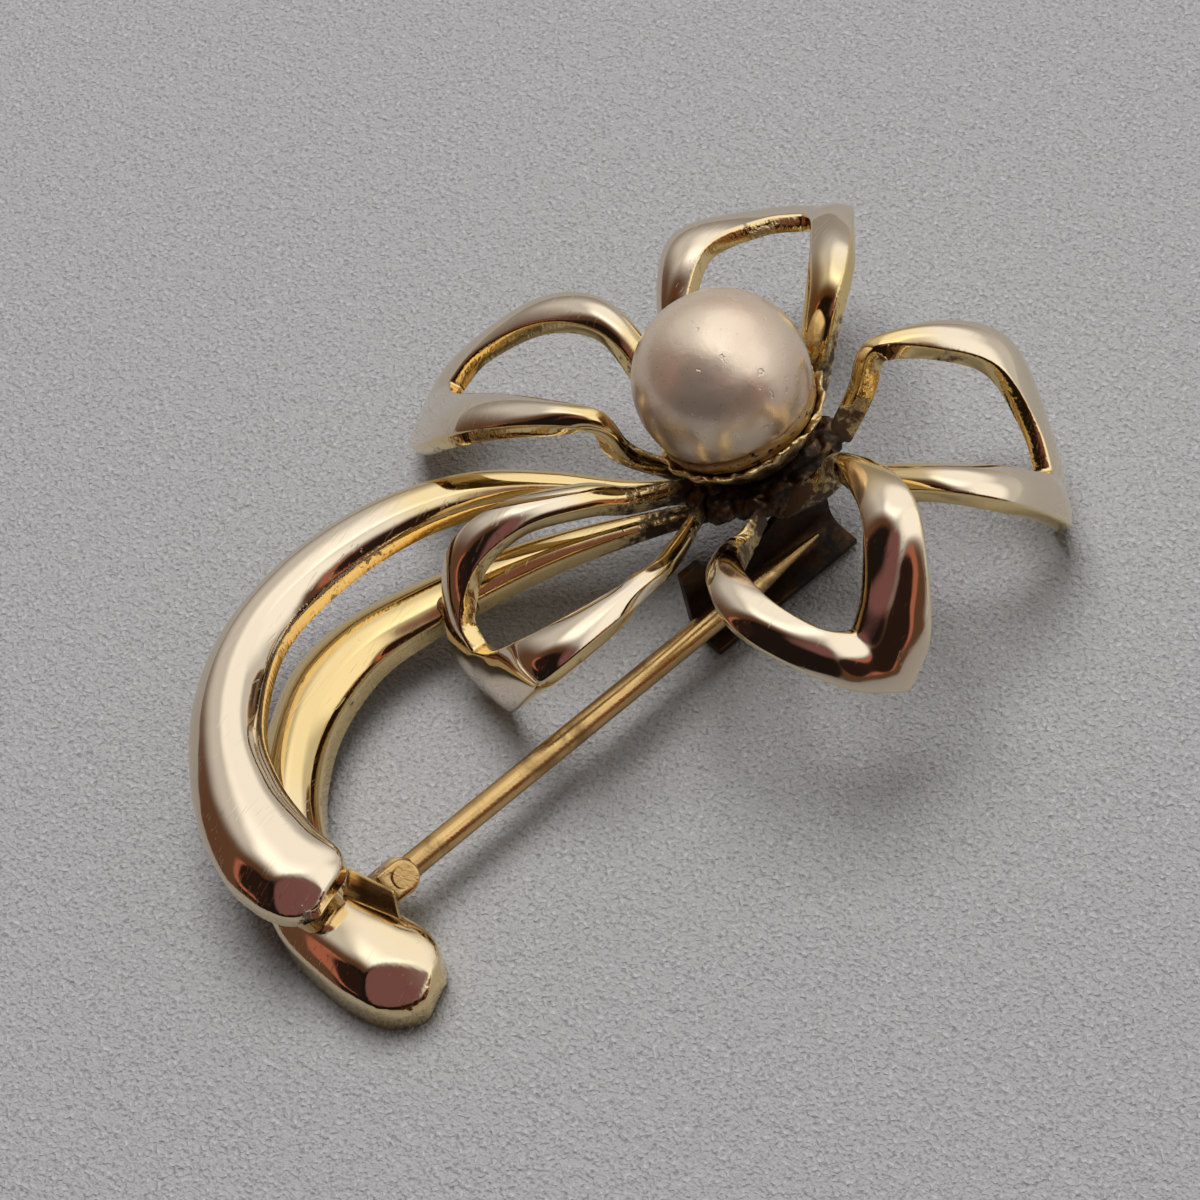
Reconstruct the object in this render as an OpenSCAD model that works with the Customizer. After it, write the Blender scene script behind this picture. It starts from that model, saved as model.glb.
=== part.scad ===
// Flower brooch: five open petals round a pearl in a crimped cup, two crescent stems,
// and a hinged pin that rests in a hook catch. It lies on its back on a table.
// Millimetres. Z is up, +Y runs from the stem ends to the flower.

/* [Pearl and cup] */
// Diameter of the pearl
pearl_d = 8; // [6:0.5:8.5]
// Height of the middle of the pearl above the table
pearl_z = 10; // [9.8:0.1:11]
// Lean of the cup and the hub
cup_lean = 18; // [10:1:22]
// Radius of the crimped rim
cup_rim_r = 4.05; // [3.6:0.05:4.4]
// Number of crimps round the cup
cup_crimps = 18; // [10:1:24]

/* [Petals] */
// Reach of a petal from the middle of the flower to its tip
petal_reach = 15.6; // [13:0.1:17]
// Thickness of the petal band
petal_thick = 0.9; // [0.6:0.05:1.1]
// Rise of the domed face over the edges of the band
petal_crown = 0.3; // [0:0.05:0.5]

/* [Stems] */
// Thickness of the stamped stem sheet
stem_sheet = 0.7; // [0.5:0.05:0.9]
// Factor on the dome of the stems
stem_dome = 1; // [0.5:0.05:1.1]

/* [Pin and catch] */
// Diameter of the pin wire
pin_d = 1.15; // [0.8:0.05:1.2]
// Length of the pin from its pivot to the point
pin_len = 24.7; // [22:0.1:26]
// Length of the tapered point
pin_point = 4.2; // [2:0.1:6]
// Height of the pin above the table
pin_z = 2.2; // [2.1:0.05:2.4]
// Lean of the hinge axis, which sets how far the pin drops as it opens
hinge_lean = 40; // [30:1:45]
// Diameter of the hinge rivet
rivet_d = 0.6; // [0.5:0.05:0.7]
// Length of the hook of the catch along the pin
catch_len = 8.4; // [6:0.1:9]
// Thickness of the catch sheet
catch_sheet = 0.35; // [0.3:0.05:0.45]

/* [Quality] */
// Sections between two rows of a table
steps = 6; // [3:1:8]

/* [Hidden] */
$fn = 48;
seam = 0.05;
slit = 0.05;
flower_x = 1.65;
flower_y = 7.48;
flower_z = 5.4;
pearl_dx = -0.48;
pearl_dy = 0.97;
cup_lean_az = 173;
pearl_r = pearl_d / 2;
cup_floor = pearl_r + seam;
cup_sheet = 0.4;
rim_drop = 2.3;
hub_r = 2.85;
hub_thick = 1.5;
// distance of the middle of the hub from the middle of the pearl, along the leaning axis
hub_drop = cup_floor + cup_sheet + seam + hub_thick / 2;
hub_dx = pearl_dx - hub_drop * sin(cup_lean) * cos(cup_lean_az);
hub_dy = pearl_dy - hub_drop * sin(cup_lean) * sin(cup_lean_az);
hub_z = pearl_z - hub_drop * cos(cup_lean);
hub_off = norm([hub_dx, hub_dy]);
hub_az = atan2(hub_dy, hub_dx);
// distance of the petal roots from the middle of the hub, and their height over its middle
root_r = hub_r + 0.35;
root_over = 0.3;

// One stamped petal, a row for each section round the loop, from root to root.
// Columns: reach, side and height of the inner edge, then of the outer edge.
// The first and the last row are moved to the rim of the hub. The rows next to them give
// reach and height as shares of the way from the root to the following row.
petal_rows = [
    [ 2.9,  0.2, 0.0,   2.9,  0.9,  0.0],
    [ 0.6,  1.9, 0.6,   0.6,  2.6,  0.6],
    [ 6.2,  3.1, 4.0,   6.0,  3.7,  3.0],
    [ 9.0,  3.0, 4.7,   9.0,  4.7,  4.6],
    [11.8,  2.7, 5.0,  12.8,  5.0,  4.5],
    [13.7,  1.3, 3.7,  15.0,  2.6,  1.0],
    [14.4, -0.2, 2.7,  15.6,  0.1, -0.5],
    [13.6, -1.5, 3.7,  15.1, -2.1,  1.7],
    [11.3, -2.5, 4.4,  12.2, -4.3,  4.2],
    [ 8.4, -2.6, 3.8,   8.9, -4.4,  4.3],
    [ 5.8, -1.9, 2.1,   5.6, -3.4,  2.2],
    [ 0.6, -1.2, 0.6,   0.6, -2.3,  0.6],
    [ 2.9, -0.2, 0.0,   2.9, -0.9,  0.0]
];
petal_tip_row = 6;

// How each petal was bent by hand and set on the hub.
// Columns: turn, pitch and roll in degrees, lift, droop and skew in mm, twist in degrees,
// and how far the knee between the root and the loop sags in mm.
petal_sets = [
    [191.6,  17.8,  17.7, -1.2,   7.3,  -1.4,  -12.6, 0.9],
    [107.8,  23.9, -11.2, -4.7,   1.4,  -0.55,  -6.6, 0.2],
    [ 34.8, -11.6,   8.0,  1.07,  2.57, -1.27, -12.8, 0.5],
    [-27.5,  17.9,   0.7, -2.44,  1.38, -0.4,   13.5, 0.2],
    [250.9, -20.7,  -9,    0.65, -0.33, -0.24,  17.6, 0.4]
];

// Section of the petal band. Columns: place across the band, height over its edges.
band_section = [
    [0.00, -0.12], [0.06, 0.00], [0.28, 0.75], [0.50, 1.00], [0.72, 0.75],
    [0.94, 0.00], [1.00, -0.12]
];

// Section of a stem. Columns: place across, part of the dome, part of the open back.
stem_section = [
    [0.00, 0.00, 0.0], [0.04, 0.20, 0.0], [0.20, 0.70, 0.0], [0.30, 0.89, 0.9],
    [0.50, 1.00, 1.0], [0.70, 0.89, 0.9], [0.80, 0.70, 0.0], [0.96, 0.20, 0.0],
    [1.00, 0.00, 0.0]
];

// The stems, a row for each section from the hub to the end, measured from the flower middle.
// Columns: outer edge x and y, inner edge x and y, edge height, dome, wall, hollow.
upper_rows = [
    [ -0.3,   0.6,   0.0,  -0.5, 3.55, 0.12, 0.8, 0.0],
    [ -2.0,  -0.2,  -1.6,  -1.2, 3.30, 0.15, 0.8, 0.0],
    [ -4.4,  -2.0,  -4.0,  -2.9, 3.60, 0.25, 0.8, 0.0],
    [ -7.6,  -3.8,  -7.0,  -5.1, 4.50, 0.40, 0.9, 0.3],
    [-10.6,  -5.9,  -9.4,  -7.5, 5.10, 0.55, 1.0, 0.6],
    [-13.3,  -9.2, -11.2, -10.5, 5.40, 0.75, 1.0, 1.0],
    [-15.2, -13.4, -12.5, -14.2, 5.30, 0.90, 1.0, 1.0],
    [-15.6, -18.2, -12.7, -17.8, 5.15, 1.00, 1.0, 1.0],
    [-14.3, -22.4, -11.0, -21.4, 4.95, 1.10, 1.0, 1.0],
    [-11.3, -26.2,  -8.6, -23.3, 4.75, 1.10, 1.0, 1.0],
    [ -8.2, -28.3,  -6.1, -24.3, 4.55, 1.00, 1.0, 0.8],
    [ -5.8, -28.8,  -4.9, -24.5, 4.40, 0.85, 1.0, 0.4]
];
upper_end = [
    [ -4.9, -28.7,  -4.4, -24.6, 4.37, 0.65, 1.0, 0.25],
    [ -4.2, -28.4,  -4.0, -24.85, 4.35, 0.42, 1.0, 0.1],
    [ -3.75, -27.9, -3.75, -25.3, 4.32, 0.20, 0.95, 0.05],
    [ -3.5, -27.2,  -3.6, -25.95, 4.30, 0.05, 0.9, 0.0]
];
lower_rows = [
    [  0.2,  -0.7,   0.7,  -1.3, 3.86, 0.10, 0.8, 0.0],
    [ -1.5,  -1.7,  -1.0,  -2.2, 3.30, 0.10, 0.8, 0.0],
    [ -3.3,  -3.3,  -2.6,  -4.0, 3.30, 0.20, 0.8, 0.0],
    [ -5.9,  -5.7,  -4.8,  -6.8, 3.30, 0.35, 0.9, 0.2],
    [ -8.0,  -7.8,  -6.6,  -9.4, 3.10, 0.45, 1.0, 0.5],
    [-10.5, -10.9,  -8.5, -12.7, 2.80, 0.60, 1.1, 1.0],
    [-12.4, -14.1,  -9.6, -15.4, 2.60, 0.80, 1.2, 1.0],
    [-13.0, -17.2,  -9.5, -18.6, 2.50, 0.95, 1.3, 1.0],
    [-12.2, -20.4,  -8.5, -21.2, 2.40, 1.00, 1.4, 1.0],
    [-10.4, -23.8,  -7.1, -23.1, 2.25, 0.95, 1.5, 1.0],
    [ -8.3, -26.5,  -5.3, -24.5, 2.10, 0.95, 1.6, 1.0],
    [ -5.5, -28.6,  -3.4, -25.1, 2.00, 1.00, 1.8, 0.8],
    [ -2.2, -29.4,  -1.5, -25.1, 2.02, 1.00, 2.0, 0.6],
    [ -0.4, -29.5,  -0.4, -25.1, 2.02, 0.85, 2.0, 0.4]
];
lower_end = [
    [  0.5, -29.35,  0.2, -25.15, 2.02, 0.65, 2.0, 0.25],
    [  1.25, -28.95, 0.8, -25.4, 2.02, 0.42, 2.0, 0.1],
    [  1.75, -28.4,  1.3, -25.8, 2.01, 0.20, 1.95, 0.05],
    [  2.0, -27.7,   1.7, -26.4, 2.00, 0.05, 1.9, 0.0]
];

// Cup wall, from the middle of the floor outside to the rim and back inside.
// Columns: radius, height over the middle of the pearl, strength of the crimps.
cup_rows = [
    [0.00, -cup_floor - cup_sheet, 0.0],
    [2.00, -cup_floor - cup_sheet, 0.0],
    [2.45, -cup_floor - 0.15, 0.4],
    [3.20, -rim_drop - 1.0, 1.0],
    [cup_rim_r - 0.15, -rim_drop - 0.3, 1.0],
    [cup_rim_r, -rim_drop, 1.2],
    [cup_rim_r - 0.30, -rim_drop, 1.2],
    [3.45, -rim_drop - 0.45, 0.8],
    [2.90, -rim_drop - 0.95, 0.4],
    [1.60, -cup_floor + 0.05, 0.0],
    [0.00, -cup_floor, 0.0]
];
cup_sides = 72;
crimp_depth = 0.12;
rim_wave = 0.14;

// The pin runs from its pivot towards the hook.
pin_az = 74.9;
pivot_x = -2.4;
pivot_y = -23.75;
pin_r = pin_d / 2;
eye_r = 0.85;
eye_half = 0.6;
// chamfer of the edges of the eye
eye_edge = 0.12;
cheek_r = 0.75;
cheek_thick = 0.35;
rivet_r = rivet_d / 2;

// Curves and sweeps

// Point on a Catmull-Rom curve from b to c
function spline(a, b, c, d, t) =
    0.5 * (2 * b + (c - a) * t + (2 * a - 5 * b + 4 * c - d) * t * t
    + (3 * b - a - 3 * c + d) * t * t * t);

// Rows of a table with steps sections added between each two
function smooth_rows(rows, n) = let (last = len(rows) - 1) concat(
    [for (i = [0:last - 1], k = [0:n - 1])
        spline(
            i == 0 ? 2 * rows[0] - rows[1] : rows[i - 1],
            rows[i],
            rows[i + 1],
            i == last - 1 ? 2 * rows[last] - rows[last - 1] : rows[i + 2],
            k / n)],
    [rows[last]]);

function unit(v) = v / norm(v);

function slice(rows, from, to) = [for (i = [from:to]) rows[i]];

// Solid through a list of rings that all have n points. The rings are closed by caps, each a
// list of triangles made of places in a ring.
module swept(rings, cap) {
    n = len(rings[0]);
    last = (len(rings) - 1) * n;
    points = [for (ring = rings, p = ring) p];
    sides = [for (i = [0:len(rings) - 2], j = [0:n - 1])
        let (a = i * n + j, b = i * n + (j + 1) % n) each [[a, b, a + n], [b, b + n, a + n]]];
    first_cap = [for (t = cap) [t[2], t[1], t[0]]];
    last_cap = [for (t = cap) [t[0] + last, t[1] + last, t[2] + last]];
    polyhedron(points = points, faces = concat(sides, first_cap, last_cap), convexity = 10);
}

// Cap of a ring that bulges everywhere
function fan_cap(n) = [for (j = [1:n - 2]) [0, j, j + 1]];

// Cap of a ring whose first half runs across the top and whose second half runs back below it
function strip_cap(n) = [for (j = [0:n / 2 - 2])
    each [[j, j + 1, n - 1 - j], [j + 1, n - 2 - j, n - 1 - j]]];

// Petals

function turn_x(p, a) = [p[0], p[1] * cos(a) - p[2] * sin(a), p[1] * sin(a) + p[2] * cos(a)];
function turn_y(p, a) = [p[0] * cos(a) - p[2] * sin(a), p[1], p[0] * sin(a) + p[2] * cos(a)];
function turn_z(p, a) = [p[0] * cos(a) - p[1] * sin(a), p[0] * sin(a) + p[1] * cos(a), p[2]];

// Reach at which a petal that points along az meets the rim of the hub
function root_reach(az) =
    hub_off * cos(az - hub_az)
    + sqrt(root_r * root_r - pow(hub_off * sin(az - hub_az), 2));

// Top of a petal root at the rim of the leaning hub, over the middle of the flower
function root_height(az) = hub_z - hub_r * sin(cup_lean) * cos(az - cup_lean_az) + root_over - flower_z;

// Root of a petal before it was bent, at a place to the side
function root_point(s, side) = let (
    reach = root_reach(s[0]),
    up = root_height(s[0]) - s[3],
    height = up * cos(s[1]) - reach * sin(s[1]))
    [reach * cos(s[1]) + up * sin(s[1]),
     side * cos(s[2]) + height * sin(s[2]),
     height * cos(s[2]) - side * sin(s[2])];

// A point of the stamped petal after it was bent by hand and set on the hub
function bent(p, s) =
    let (t = (p[0] - 2.9) / 12)
    let (q = turn_x([p[0], p[1] + s[5] * t * t, p[2] - s[4] * t * t], s[6] * t))
    let (w = turn_z(turn_y(turn_x(q, s[2]), s[1]), s[0]))
    [w[0], w[1], w[2] + flower_z + s[3]];

// Point on the knee, at a share of the way from the root to the point that follows it
function knee_point(s, next, side, along, up) = let (root = root_point(s, side))
    [root[0] + (next[0] - root[0]) * along,
     root[1] + (side - root[1]) * along,
     root[2] + (next[2] - root[2]) * up - s[7]];

// Rows of the stamped petal stretched to its reach, with its roots at the hub
function petal_table(s) = let (
    k = (petal_reach - 2.9) / (15.6 - 2.9),
    last = len(petal_rows) - 1,
    loop = [for (r = petal_rows)
        [2.9 + (r[0] - 2.9) * k, r[1], r[2], 2.9 + (r[3] - 2.9) * k, r[4], r[5]]])
    [for (i = [0:last]) let (r = petal_rows[i], next = loop[i == 1 ? 2 : max(last - 2, 0)])
        i == 0 || i == last
        ? concat(root_point(s, r[1]), root_point(s, r[4]))
        : i == 1 || i == last - 1
        ? concat(knee_point(s, slice(next, 0, 2), r[1], r[0], r[2]),
                 knee_point(s, slice(next, 3, 5), r[4], r[3], r[5]))
        : loop[i]];

function petal_edges(s) = let (
    t = petal_table(s),
    left = smooth_rows(slice(t, 0, petal_tip_row), steps),
    right = smooth_rows(slice(t, petal_tip_row, len(t) - 1), steps),
    rows = concat(left, slice(right, 1, len(right) - 1)))
    [for (r = rows) [bent([r[0], r[1], r[2]], s), bent([r[3], r[4], r[5]], s)]];

// Upward normal of the band between section i and section i + 1
function band_up(e, i) = let (
    along = (e[i + 1][0] + e[i + 1][1]) - (e[i][0] + e[i][1]),
    across = (e[i][1] + e[i + 1][1]) - (e[i][0] + e[i + 1][0]))
    unit(cross(along, across));

function petal_rings(s) = let (e = petal_edges(s), last = len(e) - 1)
    [for (i = [0:last]) let (
        before = band_up(e, max(i - 1, 0)),
        after = band_up(e, min(i, last - 1)),
        up = (before + after) / (1 + before * after),
        a = e[i][0],
        b = e[i][1])
        concat(
            [for (c = band_section)
                a + (b - a) * c[0] + up * (c[1] > 0 ? c[1] * petal_crown : c[1])],
            [b - up * petal_thick, a - up * petal_thick])];

module petal(n) {
    color("gold")
        translate([flower_x, flower_y, 0])
            swept(petal_rings(petal_sets[n]), fan_cap(len(band_section) + 2));
}

// Stems

function stem_ring(r) = let (
    o = [r[0], r[1], r[4]],
    across = [r[2], r[3], r[4]] - o,
    dome = r[5] * stem_dome,
    wall = r[6],
    // depth of the open back above the foot of the wall
    back = max(r[7] * (wall + 0.55 * dome - stem_sheet), 0.03))
    concat(
        [for (c = stem_section) o + across * c[0] + [0, 0, dome * c[1] - (c[1] > 0 ? 0 : 0.1)]],
        [for (k = [len(stem_section) - 1:-1:0]) let (c = stem_section[k])
            o + across * c[0] + [0, 0, back * c[2] - wall]]);

module stem(rows, end) {
    sections = concat(smooth_rows(rows, steps - 1), end);
    color("goldenrod")
        translate([flower_x, flower_y, 0])
            swept([for (r = sections) stem_ring(r)], strip_cap(2 * len(stem_section)));
}

// Hub, cup and pearl

// Frame with its origin in the middle of the pearl and Z along the leaning axis
module on_cup_axis() {
    translate([flower_x + pearl_dx, flower_y + pearl_dy, pearl_z])
        rotate([0, 0, cup_lean_az])
            rotate([0, cup_lean, 0])
                children();
}

module pearl() {
    color("linen")
        on_cup_axis()
            sphere(r = pearl_r, $fn = 96);
}

function cup_ring(a) = let (wave = cos(cup_crimps * a), rag = sin(5 * a) + 0.6 * cos(11 * a))
    [for (c = slice(cup_rows, 1, len(cup_rows) - 2))
        let (r = c[0] + crimp_depth * c[2] * wave)
        [r * cos(a), r * sin(a), c[1] + (c[2] > 1.1 ? rim_wave * (wave + 0.5 * rag) : 0)]];

// The crimped cup is closed round its axis, with a point in the middle of each floor
module cup() {
    n = len(cup_rows) - 2;
    rings = [for (i = [0:cup_sides - 1]) cup_ring(360 * i / cup_sides)];
    points = concat([for (ring = rings, p = ring) p],
        [[0, 0, cup_rows[0][1]], [0, 0, cup_rows[n + 1][1]]]);
    under = cup_sides * n;
    sides = [for (i = [0:cup_sides - 1], j = [0:n - 2])
        let (a = i * n + j, b = ((i + 1) % cup_sides) * n + j)
        each [[a, a + 1, b], [b, a + 1, b + 1]]];
    floors = [for (i = [0:cup_sides - 1])
        let (a = i * n, b = ((i + 1) % cup_sides) * n)
        each [[under, a, b], [under + 1, b + n - 1, a + n - 1]]];
    color("darkgoldenrod")
        on_cup_axis()
            polyhedron(points = points, faces = concat(sides, floors), convexity = 6);
}

// Hardened glue between the pearl and the wall of the cup
module glue_bed() {
    glue_in = pearl_r + 0.03;
    color("sienna")
        on_cup_axis()
            rotate_extrude($fn = 96)
                difference() {
                    polygon([[2.4, -rim_drop - 1.05], [2.6, -rim_drop - 1.05],
                             [3.25, -rim_drop - 0.4], [3.55, -rim_drop - 0.08],
                             [3.5, -rim_drop + 0.12], [2.8, -rim_drop + 0.2]]);
                    circle(r = glue_in, $fn = 96);
                }
}

// Lumps of solder on the rim of the hub. Columns: angle, height and radius.
hub_lumps = [
    [ -5, 0.10, 0.60],
    [ 62, 0.05, 0.65],
    [148, 0.10, 0.60],
    [218, 0.05, 0.45],
    [288, 0.10, 0.65]
];

// Solder plate under the cup, which holds the roots of the petals and the stems
module hub() {
    color("saddlebrown")
        on_cup_axis()
            translate([0, 0, -hub_drop]) {
                rotate_extrude()
                    polygon([[0, -hub_thick / 2], [hub_r - 0.5, -hub_thick / 2],
                             [hub_r, -hub_thick / 2 + 0.35], [hub_r, hub_thick / 2 - 0.35],
                             [hub_r - 0.35, hub_thick / 2], [0, hub_thick / 2]]);
                for (l = hub_lumps)
                    rotate([0, 0, l[0] - cup_lean_az])
                        translate([hub_r - 0.15, 0, l[1]])
                            sphere(r = l[2]);
            }
}

// Pin, hinge and catch

// Frame at the point of the pin: Y along the pin, X to the open side of the hook
module at_point() {
    translate([flower_x + pivot_x + pin_len * cos(pin_az),
               flower_y + pivot_y + pin_len * sin(pin_az), pin_z])
        rotate([0, 0, pin_az - 90])
            children();
}

// Frame at the pivot: Y along the pin, Z along the hinge axis
module at_hinge() {
    translate([flower_x + pivot_x, flower_y + pivot_y, pin_z])
        rotate([0, 0, pin_az - 90])
            rotate([0, hinge_lean, 0])
                children();
}

module pin_stem() {
    color("gold")
        at_hinge()
            difference() {
                union() {
                    rotate_extrude()
                        polygon([[0, -eye_half], [eye_r - eye_edge, -eye_half],
                                 [eye_r, -eye_half + eye_edge], [eye_r, eye_half - eye_edge],
                                 [eye_r - eye_edge, eye_half], [0, eye_half]]);
                    rotate([-90, 0, 0])
                        cylinder(r = pin_r, h = pin_len - pin_point);
                    translate([0, pin_len - pin_point, 0])
                        rotate([-90, 0, 0])
                            cylinder(r1 = pin_r, r2 = 0.08, h = pin_point);
                }
                cylinder(r = rivet_r + slit, h = 4, center = true);
            }
}

module hinge_rivet() {
    half = eye_half + seam + cheek_thick;
    color("darkgoldenrod")
        at_hinge() {
            cylinder(r = rivet_r, h = 2 * half + 0.2, center = true);
            translate([0, 0, half + 0.03])
                cylinder(r = rivet_r + 0.2, h = 0.2);
            translate([0, 0, -half - 0.23])
                cylinder(r = rivet_r + 0.2, h = 0.2);
        }
}

// Two cheeks round the eye of the pin, folded from a foot that sits on the lower stem
module hinge_bracket() {
    half = eye_half + seam + cheek_thick;
    foot = 1.0;
    color("goldenrod")
        at_hinge()
            difference() {
                union() {
                    cylinder(r = cheek_r, h = 2 * half, center = true);
                    translate([-cheek_r, -foot, -half])
                        cube([2 * cheek_r, foot, 2 * half]);
                }
                cylinder(r = rivet_r + 0.02, h = 4, center = true);
                cylinder(r = eye_r + 0.1, h = 2 * (eye_half + seam), center = true);
                translate([-2, 0, -eye_half - seam])
                    cube([4, 4, 2 * (eye_half + seam)]);
            }
}

// Section of the hook, looking along the pin with the pin at the origin
module hook_section(wall_top) {
    wall_x = -1.55;
    bend_r = 1.1;
    bend_z = -0.85;
    translate([wall_x, bend_z])
        square([catch_sheet, wall_top - bend_z]);
    translate([wall_x + bend_r, bend_z])
        intersection() {
            difference() {
                circle(r = bend_r);
                circle(r = bend_r - catch_sheet);
            }
            translate([-bend_r - 1, -bend_r - 1])
                square([bend_r + 1, bend_r + 1]);
        }
    translate([wall_x + bend_r, bend_z - bend_r])
        square([0.95, catch_sheet]);
}

// Sheet catch: a hook under the pin, with a wall that is cut out between its two ends
module catch() {
    past_point = 1.7;
    wall_top = 2.42;
    low_top = 0.85;
    color("peru")
        at_point()
            difference() {
                translate([0, past_point, 0])
                    rotate([90, 0, 0])
                        linear_extrude(height = catch_len)
                            hook_section(wall_top);
                translate([-3, past_point - 1.35 - 3.2, low_top + 3.2])
                    rotate([0, 90, 0])
                        cylinder(r = 3.2, h = 3);
            }
}

petal(0);  // petal_1
petal(1);  // petal_2
petal(2);  // petal_3
petal(3);  // petal_4
petal(4);  // petal_5
stem(upper_rows, upper_end);  // stem_upper
stem(lower_rows, lower_end);  // stem_lower
hub();
cup();
glue_bed();
pearl();
catch();
hinge_bracket();
hinge_rivet();
pin_stem();
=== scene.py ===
import math

import bmesh
import bpy
from bpy.props import FloatProperty
from bpy.props import FloatVectorProperty
from bpy.props import IntProperty
from bpy.props import PointerProperty
from mathutils import Matrix
from mathutils import Vector
from mathutils import noise


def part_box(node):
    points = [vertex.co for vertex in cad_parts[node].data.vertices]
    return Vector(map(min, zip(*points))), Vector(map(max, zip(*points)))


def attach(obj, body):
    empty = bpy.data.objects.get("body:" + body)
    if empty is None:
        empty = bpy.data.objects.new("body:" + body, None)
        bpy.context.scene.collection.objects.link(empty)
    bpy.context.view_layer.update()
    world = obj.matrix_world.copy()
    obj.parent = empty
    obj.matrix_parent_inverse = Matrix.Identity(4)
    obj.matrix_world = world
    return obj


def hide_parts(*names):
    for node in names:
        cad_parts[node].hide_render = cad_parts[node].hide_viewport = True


bl_info = {
    "name": "Flower brooch",
    "version": (1, 0, 0),
    "blender": (4, 5, 0),
    "location": "View3D > Sidebar > Brooch",
    "description": "Dresses the solids of a gilt flower brooch with a pearl, and lights it on a table",
    "category": "Object",
}

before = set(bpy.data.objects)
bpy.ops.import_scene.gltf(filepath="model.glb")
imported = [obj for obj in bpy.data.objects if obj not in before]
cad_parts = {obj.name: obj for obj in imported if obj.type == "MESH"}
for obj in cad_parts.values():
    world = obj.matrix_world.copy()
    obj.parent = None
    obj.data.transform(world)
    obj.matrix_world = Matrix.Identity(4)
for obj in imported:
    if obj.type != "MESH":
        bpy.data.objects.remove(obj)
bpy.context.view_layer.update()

MM = 0.001
# Points of a CAD node that are closer than this are one point
MERGE_DISTANCE = 0.000002
PETALS = ("petal_1", "petal_2", "petal_3", "petal_4", "petal_5")
STEMS = ("stem_upper", "stem_lower")
# Sides of the section of a petal and of a stem, and those of them that make its dome
PETAL_SIDES = 9
PETAL_DOME = range(6)
STEM_SIDES = 18
STEM_DOME = range(8)
# Neighbouring sides whose edge is kept crisp, and those whose edge is a little crisp
PETAL_CRISP = {(6, 7), (7, 8)}
PETAL_SOFT = {(5, 6), (0, 8)}
STEM_CRISP = {(8, 9), (16, 17)}
STEM_SOFT = {(7, 8), (0, 17)}

# Share of silver on the dome of a stem. Columns: height along Y in mm, silver on the upper
# stem, silver on the lower stem.
STEM_SILVER = (
    (8.0, 0.0, 0.0),
    (2.5, 0.0, 0.0),
    (-1.0, 0.4, 0.0),
    (-4.5, 0.85, 0.0),
    (-11.5, 1.0, 0.1),
    (-17.5, 1.0, 0.5),
    (-22.5, 1.0, 0.8),
)

# Slanting cuts at the blunt ends of the stems: a point of each in mm, the way that both face,
# how far in mm they reach round that point, and how much of the metal over them is pressed in
END_CUTS = {"stem_upper": (-2.68, -19.8, 4.57), "stem_lower": (2.42, -20.15, 2.27)}
CUT_WAY = (0.46, -0.33, 0.82)
CUT_REACH = 4
CUT_SHARE = 0.8

# Soot on the plated pieces, as a crust at the roots and as specks further out: how much there
# is, and the distances from the middle of the hub between which it fades
SOOT_BANDS = ((0.60, 0.0030, 0.0058), (0.28, 0.0055, 0.0095))
# Soot that the walls have over that
WALL_SOOT = 0.12

# Corners in mm of the folded tab between the hinge and the lower stem: two above, two below
HINGE_TAB = (
    (-2.35, -17.35, 3.25),
    (0.05, -17.25, 3.15),
    (-2.1, -18.35, 2.55),
    (0.75, -18.0, 2.45),
)
# The way that the tab bulges, how far in mm, and the thickness of its sheet in mm
TAB_BULGE_WAY = (0.5, -0.9, 0.5)
TAB_BULGE = 0.12
TAB_SHEET = 0.25

# Turn of the wire of the closed pin from +X, in degrees
PIN_TURN = 74.9

# Drops of solder that fill the corners round the hub. Columns: turn round the hub in
# degrees, distance from its middle, height over it and radius in mm.
HUB_DROPS = (
    (12, 2.6, -0.1, 0.75),
    (40, 2.9, 0.1, 0.65),
    (54, 3.2, 0.0, 0.75),
    (86, 2.9, 0.1, 0.70),
    (118, 2.9, 0.0, 0.72),
    (141, 3.0, 0.0, 0.65),
    (172, 2.8, 0.2, 0.80),
    (205, 3.0, 0.0, 0.85),
    (232, 3.1, -0.1, 0.80),
    (262, 3.0, 0.1, 0.75),
    (299, 2.8, 0.2, 0.65),
    (322, 2.8, 0.2, 0.80),
    (348, 2.7, 0.1, 0.70),
)
# The hub leans by this angle, down on the side at this turn, both in degrees
HUB_LEAN = 18
HUB_LEAN_TURN = 173

# The neck of solder between the fifth petal and the lower stem: its ends, and its beads with
# their share of the way between the ends and their radius in mm
NECK_ENDS = ((-0.0067, -0.0040, 0.0030), (-0.0056, -0.0038, 0.0034))
NECK_BEADS = ((0.0, 0.55), (0.35, 0.42), (0.7, 0.42), (1.0, 0.5))

# Distances from the middle of the pearl along the axis of the cup: where its torn rim
# begins, where it is fully torn, and where the painted highlight along the rim is full
RIM_FOOT = -0.0034
RIM_TORN = -0.0024
RIM_BRIGHT = -0.0026
# Sizes of the lumps and of the tears of the rim
RIM_LUMP = 0.00055
RIM_TEAR = 0.0009

# The bead of glue at the foot of the pearl, all in mm: the radius of its ring, half of its
# thickness, how far it lies below the middle of the pearl, and the width and the height of
# the rags of its edge. Then the share of its depth over the pearl that is left.
GLUE_RING = 3.4
GLUE_HALF = 0.5
GLUE_BELOW = 2.2
GLUE_RAG_WIDTH = 1.1
GLUE_RAG = 0.22
GLUE_LEFT = 0.45

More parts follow.
